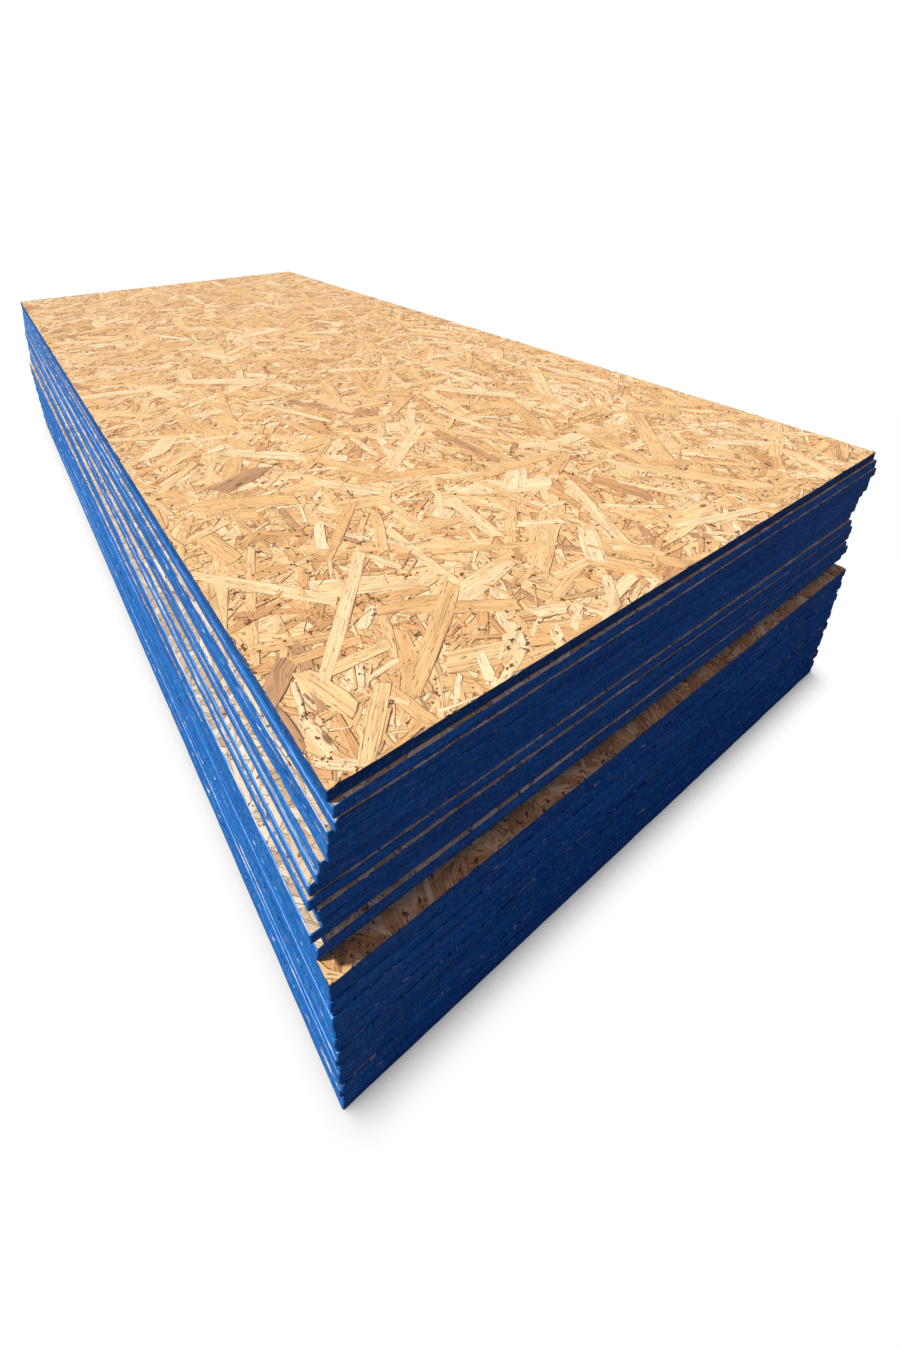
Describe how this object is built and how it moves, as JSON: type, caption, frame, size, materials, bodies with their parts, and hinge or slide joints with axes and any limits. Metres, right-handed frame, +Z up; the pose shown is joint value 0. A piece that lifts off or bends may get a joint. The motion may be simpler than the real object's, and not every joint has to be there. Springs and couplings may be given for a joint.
{
  "type": "stack of osb panels",
  "caption": "Square-edged pile of full oriented strand board sheets with sealed blue edges, tidy at the bottom and slid out of line at the top.",
  "frame": {"origin": "centre of the bottom panel's underside, where the pile rests on the floor", "axes": "+Z up through the pile, +Y along the length of the sheets, +X across their width"},
  "size_m": [1.2495, 2.4644, 0.5406],
  "materials": {
    "strand_board": "pressed wood strands, satin faces, edges sealed with blue paint"
  },
  "bodies": {
    "root": {"panel_01": "strand_board", "panel_02": "strand_board", "panel_03": "strand_board", "panel_04": "strand_board", "panel_05": "strand_board", "panel_06": "strand_board", "panel_07": "strand_board", "panel_08": "strand_board", "panel_09": "strand_board", "panel_10": "strand_board", "panel_11": "strand_board", "panel_12": "strand_board", "panel_13": "strand_board", "panel_14": "strand_board", "panel_15": "strand_board", "panel_16": "strand_board", "panel_17": "strand_board", "panel_18": "strand_board", "panel_19": "strand_board", "panel_20": "strand_board", "panel_21": "strand_board", "panel_22": "strand_board", "panel_23": "strand_board", "panel_24": "strand_board", "panel_25": "strand_board", "panel_26": "strand_board", "panel_27": "strand_board", "panel_28": "strand_board", "panel_29": "strand_board", "panel_30": "strand_board", "panel_31": "strand_board", "panel_32": "strand_board", "panel_33": "strand_board", "panel_34": "strand_board"}
  },
  "joints": []
}
